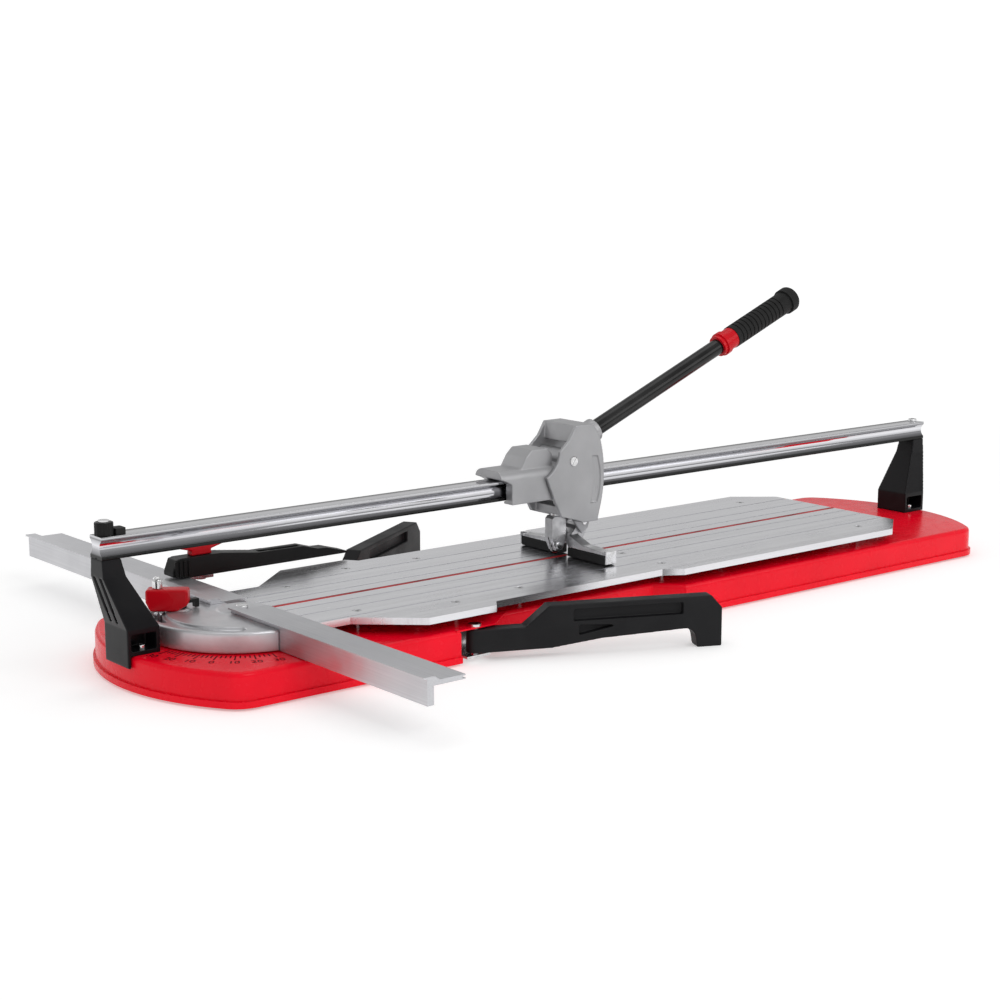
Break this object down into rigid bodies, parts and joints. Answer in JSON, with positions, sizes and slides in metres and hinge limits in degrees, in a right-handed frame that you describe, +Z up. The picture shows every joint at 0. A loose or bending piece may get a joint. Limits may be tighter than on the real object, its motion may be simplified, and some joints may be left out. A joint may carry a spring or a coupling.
{
  "type": "tile cutter",
  "caption": "Manual tile cutter: long tray with sprung table, chrome guide rail on posts, rolling carriage with score wheel and breaker, swivelling square and side stop.",
  "frame": {"origin": "on the ground under the middle of the tray", "axes": "+X along the guide rail from the square's end to the far end, +Y away from the user, +Z up"},
  "size_m": [1.45, 0.945, 0.4124],
  "materials": {
    "tray_red": "gloss",
    "rib_red": "gloss",
    "table_aluminium": "satin",
    "bar_aluminium": "brushed",
    "cast_grey": "cast, satin",
    "rail_chrome": "polished",
    "post_black": "satin",
    "steel_fixing": "zinc plated",
    "spring_steel": "satin",
    "channel_steel": "galvanised",
    "tube_black": "gloss",
    "red_plastic": "gloss",
    "black_plastic": "satin",
    "arm_plastic": "satin",
    "black_rubber": "matte",
    "felt_wiper": "matte",
    "carbide": "ground"
  },
  "bodies": {
    "base": {"base_tray": "tray_red", "cross_channels": "channel_steel", "rubber_feet": "black_rubber", "plate_screws": "steel_fixing", "front_springs": "spring_steel", "rear_springs": "spring_steel", "breaking_rib": "rib_red", "guide_rail": "rail_chrome", "near_post": "post_black", "far_post": "post_black", "post_screws": "steel_fixing", "rail_bolts": "steel_fixing", "stop_bumper": "black_rubber", "pivot_bolt": "steel_fixing", "pivot_nut": "steel_fixing", "clamp_bolt": "rail_chrome", "clamp_washer": "steel_fixing", "arm_pins": "steel_fixing", "hinge_brackets": "steel_fixing"},
    "front_table": {"front_plate": "table_aluminium"},
    "rear_table": {"rear_plate": "table_aluminium"},
    "end_knob": {"stop_knob": "black_plastic"},
    "carriage": {"carriage_body": "cast_grey", "roller_axles": "steel_fixing", "rail_wipers": "felt_wiper", "lever_pin": "steel_fixing"},
    "roller_a": {"roller_1": "black_plastic"},
    "roller_b": {"roller_2": "black_plastic"},
    "roller_c": {"roller_3": "black_plastic"},
    "roller_d": {"roller_4": "black_plastic"},
    "lever": {"lever_casting": "cast_grey", "handle_tube": "tube_black", "handle_collar": "red_plastic", "handle_grip": "black_rubber", "wheel_holder": "steel_fixing", "holder_nut": "steel_fixing", "wheel_axle": "steel_fixing", "breaker_pin": "steel_fixing"},
    "wheel": {"scoring_wheel": "carbide"},
    "breaker": {"breaker_body": "cast_grey", "breaker_pads": "black_rubber", "pad_clips": "steel_fixing"},
    "square": {"swivel_head": "cast_grey", "front_bar": "bar_aluminium", "rear_bar": "bar_aluminium", "bar_screws": "steel_fixing", "angle_pointer": "black_plastic"},
    "clamp_lever": {"clamp_knob": "red_plastic"},
    "side_stop_slide": {"side_stop": "black_plastic", "stop_clamp_bolt": "steel_fixing", "stop_bracket": "steel_fixing"},
    "side_stop_knob": {"stop_clamp_knob": "red_plastic"},
    "front_support": {"front_arm": "arm_plastic"},
    "rear_support": {"rear_arm": "arm_plastic"}
  },
  "joints": [
    {"name": "front_table_spring", "type": "slide", "parent": "base", "child": "front_table", "axis": [0, 0, 1], "range_m": [-0.0025, 0], "stiffness_N_per_m": 4000, "springref_m": 0.006, "deforming": ["front_springs"]},
    {"name": "rear_table_spring", "type": "slide", "parent": "base", "child": "rear_table", "axis": [0, 0, 1], "range_m": [-0.0025, 0], "stiffness_N_per_m": 4000, "springref_m": 0.006, "deforming": ["rear_springs"]},
    {"name": "end_knob_turn", "type": "hinge", "parent": "base", "child": "end_knob", "pos_m": [-0.7225, 0, 0.184], "axis": [0, 0, 1], "range_deg": [0, 180]},
    {"name": "carriage_travel", "type": "slide", "parent": "base", "child": "carriage", "axis": [1, 0, 0], "range_m": [-0.44, 0.6]},
    {"name": "roller_a_turn", "type": "hinge", "parent": "carriage", "child": "roller_a", "pos_m": [-0.1115, -0.0173, 0.1707], "axis": [0, 0, 1], "continuous": true},
    {"name": "roller_b_turn", "type": "hinge", "parent": "carriage", "child": "roller_b", "pos_m": [-0.1115, 0.0173, 0.1707], "axis": [0, 0, 1], "continuous": true},
    {"name": "roller_c_turn", "type": "hinge", "parent": "carriage", "child": "roller_c", "pos_m": [-0.0355, -0.0173, 0.1707], "axis": [0, 0, 1], "continuous": true},
    {"name": "roller_d_turn", "type": "hinge", "parent": "carriage", "child": "roller_d", "pos_m": [-0.0355, 0.0173, 0.1707], "axis": [0, 0, 1], "continuous": true},
    {"name": "lever_raise", "type": "hinge", "parent": "carriage", "child": "lever", "pos_m": [-0.0435, 0, 0.202], "axis": [0, -1, 0], "range_deg": [0, 30]},
    {"name": "wheel_spin", "type": "hinge", "parent": "lever", "child": "wheel", "pos_m": [-0.0455, 0, 0.082], "axis": [0, 1, 0], "continuous": true},
    {"name": "breaker_tilt", "type": "hinge", "parent": "lever", "child": "breaker", "pos_m": [-0.0085, 0, 0.112], "axis": [0, 1, 0], "range_deg": [0, 15]},
    {"name": "square_swivel", "type": "hinge", "parent": "base", "child": "square", "pos_m": [-0.5435, 0, 0.045], "axis": [0, 0, 1], "range_deg": [-20, 20]},
    {"name": "clamp_lever_turn", "type": "hinge", "parent": "base", "child": "clamp_lever", "pos_m": [-0.62737, 0.05446, 0.08], "axis": [0, 0, 1], "range_deg": [0, 90]},
    {"name": "side_stop_travel", "type": "slide", "parent": "square", "child": "side_stop_slide", "axis": [0, 1, 0], "range_m": [-0.06, 0.33]},
    {"name": "side_stop_knob_turn", "type": "hinge", "parent": "side_stop_slide", "child": "side_stop_knob", "pos_m": [-0.492, 0.189, 0.11], "axis": [0, 0, 1], "range_deg": [0, 180]},
    {"name": "front_arm_swing", "type": "hinge", "parent": "base", "child": "front_support", "pos_m": [-0.3135, -0.162, 0.02], "axis": [0, 0, 1], "range_deg": [-66, 24]},
    {"name": "rear_arm_swing", "type": "hinge", "parent": "base", "child": "rear_support", "pos_m": [-0.3135, 0.162, 0.02], "axis": [0, 0, 1], "range_deg": [-32, 58]}
  ],
  "couplings": [
    {"joint": "roller_a_turn", "follows": "carriage_travel", "rad_per_m": 125},
    {"joint": "roller_b_turn", "follows": "carriage_travel", "rad_per_m": -125},
    {"joint": "roller_c_turn", "follows": "carriage_travel", "rad_per_m": 125},
    {"joint": "roller_d_turn", "follows": "carriage_travel", "rad_per_m": -125}
  ]
}
